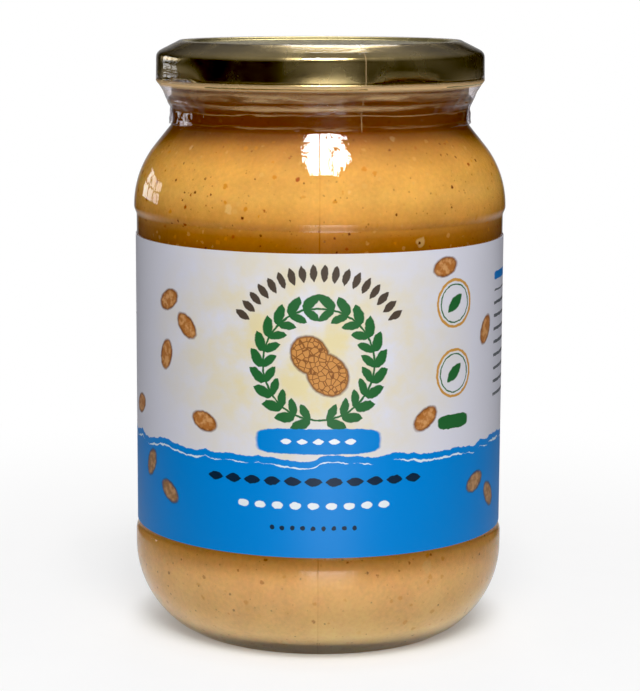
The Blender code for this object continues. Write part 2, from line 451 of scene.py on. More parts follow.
def ground_peanuts():
    """Ground roasted peanuts: a soft tan paste with specks of red skin and paler bits of nut."""
    material, tree, output = new_material("ground_peanuts")
    place = add(tree, "TexCoord", out="Object")
    height = add(tree, "SeparateXYZ", {0: place}, out="Z")
    cloud = add(tree, "TexNoise", {"Vector": place, "Scale": 1 / (11 * MM), "Detail": 3.0})
    uneven = {"Value": cloud, "From Min": 0.3, "From Max": 0.7, "To Min": 0.9, "To Max": 1.08}
    mottle = add(tree, "MapRange", uneven)
    # The paste's colour by height is painted light and shade.
    paste = add(tree, "VectorMath", {0: paste_with_painted_shade(tree, height), 1: mottle}, operation="MULTIPLY")
    grain = add(tree, "TexNoise", {"Vector": place, "Scale": 1 / (0.9 * MM), "Detail": 3.0})
    gritty = add(
        tree,
        "MapRange",
        {"Value": grain, "From Min": 0.25, "From Max": 0.75, "To Min": 0.93, "To Max": 1.07},
    )
    ground = add(tree, "VectorMath", {0: paste, 1: gritty}, operation="MULTIPLY")
    relief = add(tree, "Bump", {"Height": cloud, "Strength": 0.2, "Distance": 0.5 * MM})
    surface = add(
        tree,
        "BsdfPrincipled",
        {
            "Base Color": with_specks(tree, place, height, ground),
            "Roughness": 0.6,
            "Specular IOR Level": 0.15,
            "Subsurface Weight": 0.6,
            "Subsurface Radius": (1.0, 0.45, 0.15),
            "Subsurface Scale": 3 * MM,
            "Normal": relief,
        },
    )
    tree.links.new(surface, output.inputs["Surface"])
    return material


def gold_lacquered_tinplate():
    """Tinplate under a gold lacquer, stamped: mirror-like with a fine orange-peel grain and soft scuffs."""
    material, tree, output = new_material("gold_lacquered_tinplate")
    place = add(tree, "TexCoord", out="Object")
    grain = add(tree, "TexNoise", {"Vector": place, "Scale": 1 / (0.5 * MM), "Detail": 2.0})
    scuffs = add(tree, "TexNoise", {"Vector": place, "Scale": 1 / (6 * MM), "Detail": 4.0})
    rough = add(
        tree,
        "MapRange",
        {"Value": scuffs, "From Min": 0.3, "From Max": 0.7, "To Min": 0.16, "To Max": 0.32},
    )
    lacquer = add(tree, "Mix", {0: scuffs, 6: linear("b4a46c"), 7: linear("c8b980")}, out=2, data_type="RGBA")
    x, y, _ = add(tree, "SeparateXYZ", {0: place}, out="all")
    flat = add(tree, "CombineXYZ", {0: x, 1: y})
    radius = add(tree, "VectorMath", {0: flat}, out="Value", operation="LENGTH")
    # The recessed top has a coarser, livelier grain than the drawn skirt, with dark flecks.
    top = add(tree, "Math", {0: radius, 1: LID_PANEL_RADIUS}, operation="LESS_THAN")
    depth = add(tree, "MapRange", {"Value": top, "To Min": 0.2, "To Max": 2.5})
    lively = add(tree, "Math", {0: grain, 1: depth}, operation="MULTIPLY")
    bump = add(tree, "Bump", {"Height": lively, "Strength": 0.4, "Distance": 0.06 * MM})
    flecks = add(tree, "TexNoise", {"Vector": place, "Scale": 1 / (0.8 * MM), "Detail": 2.0})
    dark_fleck = add(tree, "MapRange", {"Value": flecks, "From Min": 0.48, "From Max": 0.56, "To Max": 0.6})
    fleck = all_of(tree, [dark_fleck, top], "MULTIPLY")
    tint = add(tree, "Mix", {0: fleck, 6: lacquer, 7: linear("5c4a1c")}, out=2, data_type="RGBA")
    surface = add(
        tree,
        "BsdfPrincipled",
        {"Base Color": tint, "Metallic": 1.0, "Roughness": rough, "Normal": bump},
    )
    tree.links.new(surface, output.inputs["Surface"])
    return material


def film_haze_and_glints(tree, place, crease):
    """Where the film is drawn pale: painted reflections in bands in front, and milky film at the lid's rolled
    edge and along its weld.
    """
    x, y, height = add(tree, "SeparateXYZ", {0: place}, out="all")
    wavy = add(tree, "MapRange", {"Value": crease, "To Min": -1.1 * MM, "To Max": 1.1 * MM})
    drawn = add(tree, "Math", {0: height, 1: wavy}, operation="ADD")
    bands = all_of(tree, [soft_band(tree, drawn, *band) for band in FILM_GLINT_BANDS])
    broken = add(tree, "MapRange", {"Value": crease, "From Min": 0.36, "From Max": 0.56, "To Min": 0.2})
    bearing = bearing_from_front(tree, x, y)
    turned_away = add(tree, "Math", {0: bearing}, operation="ABSOLUTE")
    # The painted reflections are strongest in front and fade out to the sides.
    facing_front = add(tree, "MapRange", {"Value": turned_away, "From Min": 0.9, "From Max": 0.45, "To Min": 0.25})
    front_glints = all_of(tree, [bands, broken, facing_front], "MULTIPLY")
    # Round the rolled edge the film lies double.
    edge = soft_band(tree, height, 122.3, 1.0, 1.0)
    turned_off = add(tree, "Math", {0: bearing, 1: math.radians(WELD_BEARING)}, operation="SUBTRACT")
    off_weld = add(tree, "Math", {0: turned_off}, operation="ABSOLUTE")
    weld = add(tree, "MapRange", {"Value": off_weld, "From Min": 0.004, "From Max": 0.002, "To Max": 0.22})
    return all_of(tree, [front_glints, edge, weld])


def shrink_film():
    """PVC shrink film: clear and glossy, finely creased round the neck, with painted reflections in bands in
    front, and milky at the rolled edge and weld.
    """
    material, tree, output = new_material("shrink_film")
    place = add(tree, "TexCoord", out="Object")
    long_way = add(tree, "Mapping", {"Vector": place, "Scale": (1.0, 1.0, 9.0)})
    folds = {"Vector": long_way, "Scale": 1 / (11 * MM), "Detail": 5.0, "Distortion": 0.5}
    crease = add(tree, "TexNoise", folds)
    bump = add(tree, "Bump", {"Height": crease, "Strength": 0.35, "Distance": 0.25 * MM})
    gloss = add(tree, "BsdfGlossy", {"Roughness": 0.06, "Normal": bump})
    clear = add(tree, "BsdfTransparent", {"Color": linear("faf8fa")})
    # Only the outer face mirrors: the film is so thin that its inner face adds nothing of its own.
    fresnel = add(tree, "Fresnel", {"IOR": 1.5, "Normal": bump})
    inner_face = add(tree, "NewGeometry", out="Backfacing")
    outer_face = add(tree, "Math", {0: 1.0, 1: inner_face}, operation="SUBTRACT")
    mirror = all_of(tree, [fresnel, outer_face], "MULTIPLY")
    film = add(tree, "MixShader", {0: mirror, 1: clear, 2: gloss})
    haze_and_glints = all_of(tree, [film_haze_and_glints(tree, place, crease), outer_face], "MULTIPLY")
    # The pale colour is both the film's own milkiness and painted reflection.
    milk_and_glint = add(tree, "BsdfDiffuse", {"Color": linear("f0cc9a")})
    surface = add(tree, "MixShader", {0: haze_and_glints, 1: film, 2: milk_and_glint})
    tree.links.new(surface, output.inputs["Surface"])
    return material


def placed(tree, place, centre, size, turn=0.0):
    """Coordinates round a motif's centre, turned with it and counted in its half length and half width."""
    return add(
        tree,
        "Mapping",
        {
            "Vector": place,
            "Location": (*centre, 0),
            "Rotation": (0, 0, math.radians(turn)),
            "Scale": (*size, 1),
        },
        vector_type="TEXTURE",
    )


def oval(tree, place, centre, size, turn=0.0, edge=0.06):
    """A soft-edged oval of print, 1 inside and 0 outside, in millimetres on the unrolled label."""
    near = placed(tree, place, centre, size, turn)
    reach = add(tree, "VectorMath", {0: near}, out="Value", operation="LENGTH")
    return add(tree, "MapRange", {"Value": reach, "From Min": 1 + edge, "From Max": 1 - edge})


def leaf(tree, place, centre, size, turn=0.0):
    """A pointed leaf of print, with half its length and half its width in millimetres."""
    x, y, _ = add(tree, "SeparateXYZ", {0: placed(tree, place, centre, size, turn)}, out="all")
    length = add(tree, "Math", {0: x, 1: x}, operation="MULTIPLY")
    width = add(tree, "Math", {0: y}, operation="ABSOLUTE")
    reach = all_of(tree, [length, width], "ADD")
    return add(tree, "MapRange", {"Value": reach, "From Min": 1.08, "From Max": 0.92})


def bar(tree, place, centre, size, turn=0.0, corner=6):
    """A bar of print with round corners, squarer the higher the corner's power."""
    x, y, _ = add(tree, "SeparateXYZ", {0: placed(tree, place, centre, size, turn)}, out="all")
    powers = []
    for axis in (x, y):
        distance = add(tree, "Math", {0: axis}, operation="ABSOLUTE")
        powers.append(add(tree, "Math", {0: distance, 1: corner}, operation="POWER"))
    reach = all_of(tree, powers, "ADD")
    return add(tree, "MapRange", {"Value": reach, "From Min": 1.15, "From Max": 0.9})


def ring(tree, place, centre, radius, weight):
    """A ring of print of this line weight."""
    far = add(tree, "VectorMath", {0: place, 1: (*centre, 0)}, out="Value", operation="DISTANCE")
    off = add(tree, "Math", {0: far, 1: radius}, operation="SUBTRACT")
    reach = add(tree, "Math", {0: off}, operation="ABSOLUTE")
    half = weight / 2
    return add(tree, "MapRange", {"Value": reach, "From Min": half + 0.05, "From Max": half - 0.05})


def row(tree, place, centre, pitch, count, motif, size):
    """A motif repeated along a straight row."""
    near = add(tree, "VectorMath", {0: place, 1: (*centre, 0)}, operation="SUBTRACT")
    x, y, _ = add(tree, "SeparateXYZ", {0: near}, out="all")
    half = pitch / 2 if count % 2 else 0
    shifted = add(tree, "Math", {0: x, 1: half}, operation="ADD")
    step = add(tree, "Math", {0: shifted, 1: pitch, 2: 0.0}, operation="WRAP")
    local = add(tree, "Math", {0: step, 1: pitch / 2}, operation="SUBTRACT")
    cell = add(tree, "CombineXYZ", {0: local, 1: y})
    span = bar(tree, near, (0, 0), (pitch * count / 2, 10), corner=40)
    return all_of(tree, [motif(tree, cell, (0, 0), size), span], "MULTIPLY")


def round_row(tree, place, centre, radius, count, spread, motif, size, out=0.0, turn=0.0):
    """A motif repeated round a circle, mirrored left and right, out to this many degrees from the top."""
    near = add(tree, "VectorMath", {0: place, 1: (*centre, 0)}, operation="SUBTRACT")
    x, y, _ = add(tree, "SeparateXYZ", {0: near}, out="all")
    side = add(tree, "Math", {0: x}, operation="ABSOLUTE")
    angle = add(tree, "Math", {0: side, 1: y}, operation="ARCTAN2")
    far = add(tree, "VectorMath", {0: near}, out="Value", operation="LENGTH")
    away = add(tree, "Math", {0: far, 1: radius}, operation="SUBTRACT")
    step = math.radians(spread) / count
    local = add(tree, "Math", {0: angle, 1: step, 2: 0.0}, operation="WRAP")
    centred = add(tree, "Math", {0: local, 1: step / 2}, operation="SUBTRACT")
    along = add(tree, "Math", {0: centred, 1: radius}, operation="MULTIPLY")
    cell = add(tree, "CombineXYZ", {0: along, 1: away})
    limit = add(tree, "Math", {0: angle, 1: math.radians(spread)}, operation="LESS_THAN")
    return all_of(tree, [motif(tree, cell, (0, out), size, turn), limit], "MULTIPLY")


def ruled_lines(tree, place, centre, size, pitch, weight):
    """A block of plain rules with a ragged right edge."""
    near = add(tree, "VectorMath", {0: place, 1: (*centre, 0)}, operation="SUBTRACT")
    x, y, _ = add(tree, "SeparateXYZ", {0: near}, out="all")
    lines = add(tree, "Math", {0: y, 1: pitch}, operation="DIVIDE")
    number = add(tree, "Math", {0: lines}, operation="FLOOR")
    share = add(tree, "Math", {0: lines}, operation="FRACT")
    inked = add(tree, "Math", {0: share, 1: weight / pitch}, operation="LESS_THAN")
    chance = add(tree, "TexWhiteNoise", {"W": number}, noise_dimensions="1D")
    end = add(tree, "MapRange", {"Value": chance, "To Min": size[0] * 0.55, "To Max": size[0]})
    short = add(tree, "Math", {0: x, 1: end}, operation="LESS_THAN")
    block = bar(tree, near, (0, 0), size, corner=40)
    return all_of(tree, [inked, short, block], "MULTIPLY")


def kernels(tree, place, spots):
    """Shelled nut halves as two masks: the whole outline, and the body inside it."""
    outlines = [oval(tree, place, spot[:2], KERNEL_SIZE, spot[2], edge=0.1) for spot in spots]
    inner = (KERNEL_SIZE[0] - 0.45, KERNEL_SIZE[1] - 0.4)
    bodies = [oval(tree, place, spot[:2], inner, spot[2], edge=0.16) for spot in spots]
    return all_of(tree, outlines), all_of(tree, bodies)


def nut_in_shell(tree, place, rim):
    """A nut's two-lobed shell in the middle of the wreath, this much smaller all round than its outline."""
    lobes = (((-1.9, 67.6), (4.4, 3.9)), ((1.9, 63.4), (4.9, 4.2)))
    return all_of(
        tree,
        [oval(tree, place, centre, (half[0] - rim, half[1] - rim), -48) for centre, half in lobes],
    )


def unrolled_label(tree, here):
    """How far round the label from the middle of its artwork, how high, and both as a vector, in mm."""
    x, y, z = add(tree, "SeparateXYZ", {0: here}, out="all")
    bearing = bearing_from_front(tree, x, y)
    across = add(tree, "Math", {0: bearing, 1: LABEL_RADIUS / MM}, operation="MULTIPLY")
    along = add(tree, "Math", {0: across, 1: LABEL_SHIFT}, operation="ADD")
    up = add(tree, "Math", {0: z, 1: 1 / MM}, operation="MULTIPLY")
    return along, up, add(tree, "CombineXYZ", {0: along, 1: up})


def brushed_foot(tree, along, up, cloud):
    """The blue foot of the label with its brushed upper edge, and the dry streak under that edge."""
    brush = add(tree, "TexNoise", {"W": along, "Scale": 1 / 11, "Detail": 5.0}, noise_dimensions="1D")
    edge = add(tree, "MapRange", {"Value": brush, "To Min": 43.2, "To Max": 48.2})
    under = add(tree, "Math", {0: edge, 1: up}, operation="SUBTRACT")
    blue = add(tree, "MapRange", {"Value": under, "From Min": -0.06, "From Max": 0.06})
    off_streak = add(tree, "Math", {0: under, 1: 1.5}, operation="SUBTRACT")
    streak_reach = add(tree, "Math", {0: off_streak}, operation="ABSOLUTE")
    dry = add(tree, "MapRange", {"Value": cloud, "From Min": 0.42, "From Max": 0.6, "To Max": 0.32})
    streak_edge = add(tree, "Math", {0: dry, 1: streak_reach}, operation="SUBTRACT")
    return blue, add(tree, "MapRange", {"Value": streak_edge, "From Max": 0.08})


def laurel(tree, place):
    """A wreath: leaves on both sides of a thin round stem."""
    outer = round_row(tree, place, WREATH, WREATH_RADIUS, 11, 172, leaf, (2.7, 1.05), out=1.4, turn=142)
    inner = round_row(tree, place, WREATH, WREATH_RADIUS, 11, 172, leaf, (2.3, 0.95), out=-1.3, turn=-142)
    return all_of(tree, [outer, inner, ring(tree, place, WREATH, WREATH_RADIUS, 0.45)])


def print_layers(tree, along, up, flat):
    """The print from the first ink to the last, each layer as a mask and a colour."""
    # The edges of the print wander by a tenth of a millimetre or so, as brushed artwork does.
    wander = add(tree, "TexNoise", {"Vector": flat, "Scale": 0.9, "Detail": 2.0}, out="Color")
    shift = add(tree, "VectorMath", {0: wander, 1: (0.5, 0.5, 0.5)}, operation="SUBTRACT")
    small = add(tree, "VectorMath", {0: shift, 1: (0.5, 0.5, 0.0)}, operation="MULTIPLY")
    place = add(tree, "VectorMath", {0: flat, 1: small}, operation="ADD")
    cloud = add(tree, "TexNoise", {"Vector": flat, "Scale": 1 / 9, "Detail": 5.0, "Roughness": 0.6})
    patches = add(tree, "MapRange", {"Value": cloud, "From Min": 0.3, "From Max": 0.62})
    wash = all_of(tree, [oval(tree, flat, (-3, 67), (27, 22), edge=0.55), patches], "MULTIPLY")
    blue, streak = brushed_foot(tree, along, up, cloud)
    outlines, bodies = kernels(tree, place, KERNELS)
    band_outlines, band_bodies = kernels(tree, place, BAND_KERNELS)
    shell_body = nut_in_shell(tree, place, 0.4)
    net = add(tree, "TexVoronoi", {"Vector": flat, "Scale": 0.85}, feature="DISTANCE_TO_EDGE")
    net_lines = add(tree, "MapRange", {"Value": net, "From Min": 0.1, "From Max": 0.04})
    dabs = add(tree, "TexNoise", {"Vector": flat, "Scale": 0.7, "Detail": 3.0})
    blotches = add(tree, "MapRange", {"Value": dabs, "From Min": 0.45, "From Max": 0.6})
    layers = [
        (wash, "e8daaa"),
        (blue, "0088de"),
        (streak, "dcecf6"),
        (laurel(tree, place), "2c6a38"),
        (round_row(tree, place, WREATH, LEAF_ARCH_RADIUS, 9, 62, leaf, (1.9, 0.8), turn=90), "54483e"),
        (nut_in_shell(tree, place, 0.0), "6e3c18"),
        (shell_body, "d0924c"),
        (all_of(tree, [shell_body, net_lines], "MULTIPLY"), "8a5426"),
        (outlines, "6e3c18"),
        (bodies, "b87438"),
        (all_of(tree, [bodies, blotches], "MULTIPLY"), "d8a066"),
        (bar(tree, place, (0, 49.2), (13.2, 2.7), corner=5), "0086da"),
        (row(tree, place, (0, 49.2), 3.4, 5, leaf, (1.2, 0.6)), "f2f6fa"),
        (row(tree, place, (-1, 40.6), 4.4, 11, leaf, (1.9, 0.95)), "1c2e44"),
        (row(tree, place, (-1, 35.4), 3.8, 9, oval, (1.2, 0.75)), "eef4f8"),
        (row(tree, place, (-1, 30.6), 2.2, 9, oval, (0.5, 0.5)), "1c2e44"),
        (band_outlines, "26456a"),
        (band_bodies, "9a7048"),
        (all_of(tree, [band_bodies, blotches], "MULTIPLY"), "c0946a"),
    ]
    for seal in SEALS:
        layers.append((ring(tree, place, seal, 5.0, 0.6), "d09a48"))
        layers.append((ring(tree, place, seal, 4.1, 0.3), "2c6a38"))
        layers.append((leaf(tree, place, seal, (2.8, 1.3), 40), "2c6a38"))
    layers.append((bar(tree, place, (32, 51.5), (4.6, 1.5), corner=4), "2c6a38"))
    layers.append((ruled_lines(tree, place, (66, 66), (17, 12), 2.9, 0.7), "5c6068"))
    layers.append((bar(tree, place, (60, 81), (11, 0.9), corner=8), "007ed2"))
    layers.append((ruled_lines(tree, place, (-76, 66), (18, 14), 2.4, 0.5), "5c6068"))
    return layers


def printed_paper():
    """Coated label paper, offset printed: white with a yellow wash and a blue foot, under a satin varnish."""
    material, tree, output = new_material("printed_paper")
    here = add(tree, "TexCoord", out="Object")
    colour = linear("e2e2ee")
    for mask, hex_code in print_layers(tree, *unrolled_label(tree, here)):
        colour = add(tree, "Mix", {0: mask, 6: colour, 7: linear(hex_code)}, out=2, data_type="RGBA")
    fibre = add(tree, "TexNoise", {"Vector": here, "Scale": 1 / (0.4 * MM), "Detail": 2.0})
    bump = add(tree, "Bump", {"Height": fibre, "Strength": 0.08, "Distance": 0.03 * MM})
    paper = add(tree, "BsdfPrincipled", {"Base Color": colour, "Roughness": 0.42, "IOR": 1.5, "Normal": bump})
    tree.links.new(paper, output.inputs["Surface"])
    return material


def white_paper_sweep():
    """White studio paper off a roll: matt with a faint tooth, plain white round the jar, with a painted
    shadow under it.
    """
    material, tree, output = new_material("white_paper_sweep")
    here = add(tree, "TexCoord", out="Object")
    tooth = add(tree, "TexNoise", {"Vector": here, "Scale": 60.0, "Detail": 2.0})
    bare = add(tree, "Mix", {0: tooth, 6: linear("ecebea"), 7: linear("f2f1f0")}, out=2, data_type="RGBA")
    far = add(tree, "VectorMath", {0: here}, out="Value", operation="LENGTH")
    # Painted shadow: the paper under the jar's foot is painted a dark brown-grey.
    under = add(tree, "MapRange", {"Value": far, "From Min": 0.0305, "From Max": 0.029, "To Max": 0.85})
    tint = add(tree, "Mix", {0: under, 6: bare, 7: linear("4a4434")}, out=2, data_type="RGBA")
    paper = add(tree, "BsdfPrincipled", {"Base Color": tint, "Roughness": 0.8})
    bright = add(
        tree,
        "MapRange",
        {"Value": far, "From Min": 0.04, "From Max": 0.24, "To Min": 0.65},
        interpolation_type="SMOOTHSTEP",
    )
    # Right under the jar it stays bare paper, painted dark as a shadow, which the foot of the glass shows
    # dark.
    open_floor = add(tree, "MapRange", {"Value": far, "From Min": 0.026, "From Max": 0.045})
    lit = all_of(tree, [bright, open_floor], "MULTIPLY")
    # The light on it is seen by the camera and lights the jar, and reflections look through it.
    rays = add(tree, "LightPath", out="all")
    bounce = add(tree, "Math", {0: rays["Is Diffuse Ray"], 1: 0.5}, operation="MULTIPLY")
    strength = all_of(tree, [bounce, rays["Is Camera Ray"]], "ADD")
    glow = add(tree, "Emission", {"Color": linear("ffffff"), "Strength": strength})
    through = add(tree, "BsdfTransparent")
    shines = all_of(tree, [rays["Is Camera Ray"], rays["Is Diffuse Ray"]])
    beyond = add(tree, "MixShader", {0: shines, 1: through, 2: glow})
    sweep = add(tree, "MixShader", {0: lit, 1: paper, 2: beyond})
    # Painted light: a strip of the sweep in front of the jar glows as if lit hard, unseen by the camera, and
    # shows low in the glass.
    x, y, _ = add(tree, "SeparateXYZ", {0: here}, out="all")
    bearing = bearing_from_front(tree, x, y)
    off_middle = add(tree, "Math", {0: bearing, 1: math.radians(4)}, operation="SUBTRACT")
    wide = add(tree, "Math", {0: off_middle}, operation="ABSOLUTE")
    inside = add(
        tree,
        "MapRange",
        {"Value": wide, "From Min": math.radians(20), "From Max": math.radians(6)},
        interpolation_type="SMOOTHSTEP",
    )
    begins = add(tree, "MapRange", {"Value": y, "From Min": -0.08, "From Max": -0.2})
    ends = add(tree, "MapRange", {"Value": y, "From Min": -0.3, "From Max": -0.2})
    unseen = add(tree, "Math", {0: 1.0, 1: rays["Is Camera Ray"]}, operation="SUBTRACT")
    painted_light_strip = all_of(tree, [inside, begins, ends, unseen], "MULTIPLY")
    strip = add(tree, "Emission", {"Color": linear("ffffff"), "Strength": 4.2})
    surface = add(tree, "MixShader", {0: painted_light_strip, 1: sweep, 2: strip})
    tree.links.new(surface, output.inputs["Surface"])
    return material


def build_glass():
    """The jar, from the middle of its floor up inside, over the rim and down outside to the push-up."""
    heel_end = heel_angle(0, HEEL_FOOT)
    outer = side_line(0, heel_end)
    inner = side_line(WALL, heel_angle(WALL, FLOOR_EDGE + WALL / 2))
    bore = NECK_RADIUS - WALL
    floor = [(0, FLOOR_CENTRE)] + between((0, FLOOR_CENTRE), (FLOOR_RADIUS, FLOOR_EDGE), 6)
    mouth = arc((bore + RIM_ROUND, RIM_HEIGHT - RIM_ROUND), RIM_ROUND, 180, 90, 4)
    rim = arc((FINISH_RADIUS - RIM_ROUND, RIM_HEIGHT - RIM_ROUND), RIM_ROUND, 90, 0, 4)
    bead = arc((BEAD_RADIUS - BEAD_HALF_HEIGHT, BEAD_MIDDLE), BEAD_HALF_HEIGHT, 75, -75, 8)
    bearing = arc((BEARING_OUTER, BEARING_ROUND), BEARING_ROUND, -40, -90, 4)
    bearing += arc((BEARING_INNER + BEARING_ROUND, BEARING_ROUND), BEARING_ROUND, -90, -150, 4)
    push_up = [(BEARING_INNER * 0.8, PUSH_UP * 0.6), (BEARING_INNER * 0.5, PUSH_UP * 0.9), (0, PUSH_UP)]
    profile = floor + inner[::-1] + mouth + rim + bead + outer + bearing + push_up
    jar = turned("glass_jar", profile)
    jar.data.materials.append(soda_lime_glass())
    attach(jar, "root")
    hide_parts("jar")


def build_filling():
    """The filling reaches a little into the wall, so that no air gap shows."""
    depth = WALL - FILL_BITE
    side = side_line(depth, heel_angle(depth, FLOOR_EDGE + WALL / 2 - FILL_BITE))
    top_radius = NECK_RADIUS - depth
    top = [(0, FILL_LEVEL), (top_radius * 0.5, FILL_LEVEL), (top_radius, FILL_LEVEL)]
    floor_edge = (FLOOR_RADIUS, FLOOR_EDGE - FILL_BITE)
    bottom = [floor_edge] + between(floor_edge, (0, FLOOR_CENTRE - FILL_BITE), 5)
    filling = turned("peanut_filling", top + side + bottom)
    filling.data.materials.append(ground_peanuts())
    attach(filling, "root")
    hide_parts("peanut_butter")


def build_label():
    """One strip of paper wound round the panel from behind, its end lapped over its start."""
    inner = LABEL_RADIUS - PAPER
    label = start_piece("paper_label")
    draw_profile([(inner, LABEL_BOTTOM)] + between((inner, LABEL_BOTTOM), (inner, LABEL_TOP), 8))
    bpy.ops.mesh.select_all(action="SELECT")
    # The strip starts at the back, at +Y.
    bpy.ops.transform.rotate(value=math.radians(-90), orient_axis="Z", center_override=(0, 0, 0))
    bpy.ops.mesh.spin(steps=SEGMENTS, angle=math.radians(STRIP_ANGLE), center=(0, 0, 0), axis=(0, 0, 1))
    steps = 8
    grow = 1 + LAP_RISE / LABEL_RADIUS / steps
    for _ in range(steps):
        bpy.ops.mesh.spin(steps=1, angle=math.radians(LAP_ANGLE / steps), center=(0, 0, 0), axis=(0, 0, 1))
        bpy.ops.transform.resize(value=(grow, grow, 1), center_override=(0, 0, 0))
    bpy.ops.mesh.select_all(action="SELECT")
    bpy.ops.mesh.normals_make_consistent(inside=False)
    bpy.ops.object.mode_set(mode="OBJECT")
    apply_wall(label, PAPER, 1)
    bpy.ops.object.shade_smooth_by_angle(angle=math.radians(40))
    label.data.materials.append(printed_paper())
    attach(label, "root")
    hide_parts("label")


def crown_line(depth):
    """The lid's top and skirt, from its middle out and down, this far inside the outer face."""
    panel_height = CREST_HEIGHT - LID_PANEL_DROP - depth
    crest = CREST_HEIGHT - depth
    crest_end = (CREST_OUTER, crest)
    bevel_end = (BEVEL_OUTER - depth / 2, BEVEL_FOOT - depth)
    corner = arc((LID_RADIUS - CORNER_RADIUS, SKIRT_TOP), CORNER_RADIUS - depth, 66, 0, 10)
    return (
        [(0, panel_height)]
        + between((0, panel_height), (LID_PANEL_RADIUS, panel_height), 4)
        + between((LID_PANEL_RADIUS, panel_height), (CREST_INNER, crest), 3)
        + between((CREST_INNER, crest), crest_end, 2)
        + between(crest_end, bevel_end, 3)
        + corner
    )


def build_lid():
    """The lid is spun in one piece, and its rolled edge is then pressed into four lugs."""
    curl = arc((CURL_OUTER - CURL_RADIUS, CURL_HEIGHT), CURL_RADIUS, 60, -220, 16)
    outer = crown_line(0) + [(LID_RADIUS, SKIRT_FOOT)]
    inner = [(LID_RADIUS - TINPLATE, SKIRT_FOOT)] + crown_line(TINPLATE)[::-1]
    lid = turned("tinplate_lid", outer + curl + inner)
    select_vertices(lid, lambda place: place.z > SKIRT_FOOT - MERGE)
    bpy.ops.mesh.hide(unselected=False)
    for lug in LUG_ANGLES:
        angle = math.radians(lug)
        outwards = Vector((math.cos(angle), math.sin(angle), 0))
        middle = outwards * CURL_OUTER + Vector((0, 0, CURL_HEIGHT))
        bpy.ops.object.mode_set(mode="OBJECT")
        # Known fault: the faces of earlier lugs stay selected, so each push moves those lugs as well.
        for vertex in lid.data.vertices:
            vertex.select = not vertex.hide and (vertex.co - middle).length < LUG_CORE
        bpy.ops.object.mode_set(mode="EDIT")
        push = outwards * -LUG_DEPTH + Vector((0, 0, LUG_RISE))
        bpy.ops.transform.translate(
            value=push,
            use_proportional_edit=True,
            proportional_edit_falloff="SMOOTH",
            proportional_size=LUG_REACH,
        )
    bpy.ops.mesh.reveal(select=False)
    bpy.ops.object.mode_set(mode="OBJECT")
    lid.data.materials.append(gold_lacquered_tinplate())
    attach(lid, "root")
    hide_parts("lid")


def build_shrink_band():
    """The clear film, shrunk from the lid's raised ring over the skirt and down to the foot of the neck."""
    lift = FILM_LIFT
    crest = FILM_TOP - FILM
    over_lid = [(FILM_TOP_EDGE, crest), (CREST_OUTER, crest)]
    over_lid += between((CREST_OUTER, crest), (BEVEL_OUTER, BEVEL_FOOT + lift), 4)
    over_lid += arc((LID_RADIUS - CORNER_RADIUS, SKIRT_TOP), CORNER_RADIUS + lift, 64, 0, 8)
    curl_face = CURL_OUTER + lift
    skirt_end = (curl_face, CURL_HEIGHT)
    over_lid += between(over_lid[-1], skirt_end, 12)
    # From under the rolled edge the film is drawn in over the bead to the neck.
    tuck = between(skirt_end, (BEAD_RADIUS + 1.1 * MM, BEAD_MIDDLE + 2.1 * MM), 6)
    bead = between(tuck[-1], (BEAD_RADIUS + lift, BEAD_MIDDLE), 5)
    neck = between(bead[-1], (FILM_NECK_RADIUS, BEAD_MIDDLE - 1.8 * MM), 4)
    hem = between(neck[-1], (FILM_NECK_RADIUS + FILM_HEM_FLARE, FILM_BOTTOM + 0.3 * MM), 8)
    band = turned("shrink_film", over_lid + tuck + bead + neck + hem, 300)
    for vertex in band.data.vertices:
        place = vertex.co
        below = min(max((CURL_HEIGHT - place.z) / CRUMPLE_START, 0), 1)
        crumple = noise.fractal(place / CRUMPLE_SIZE, 1.0, 2.0, 3) * CRUMPLE_DEPTH * below
        outwards = Vector((place.x, place.y, 0)).normalized()
        vertex.co = place + outwards * crumple
    apply_wall(band, FILM, -1)
    band.data.materials.append(shrink_film())
    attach(band, "root")
    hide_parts("shrink_band")


def build_floor():
    """The paper that the jar stands on. It is part of the stage, not of the jar."""
    bpy.ops.object.select_all(action="DESELECT")
    bpy.ops.mesh.primitive_circle_add(vertices=128, radius=2.5, fill_type="NGON", location=(0, 0, 0))
    floor = bpy.context.object
    floor.name = "floor"
    floor.data.materials.append(white_paper_sweep())


def aim(item, place, target):
    """Puts a lamp or the camera at a place, looking at the target."""
    item.location = place
    item.rotation_euler = (Vector(target) - Vector(place)).to_track_quat("-Z", "Y").to_euler()


def add_softbox(name, place, target, size, power, in_reflections=True):
    """A rectangular lamp that the camera doesn't see, with its size in metres and its power in watts."""
    lamp = bpy.data.lights.new(name, "AREA")
    lamp.shape = "RECTANGLE"
    lamp.size, lamp.size_y = size
    lamp.energy = power
    item = bpy.data.objects.new(name, lamp)
    bpy.context.scene.collection.objects.link(item)
    item.visible_camera = False
    item.visible_glossy = in_reflections
    aim(item, place, target)


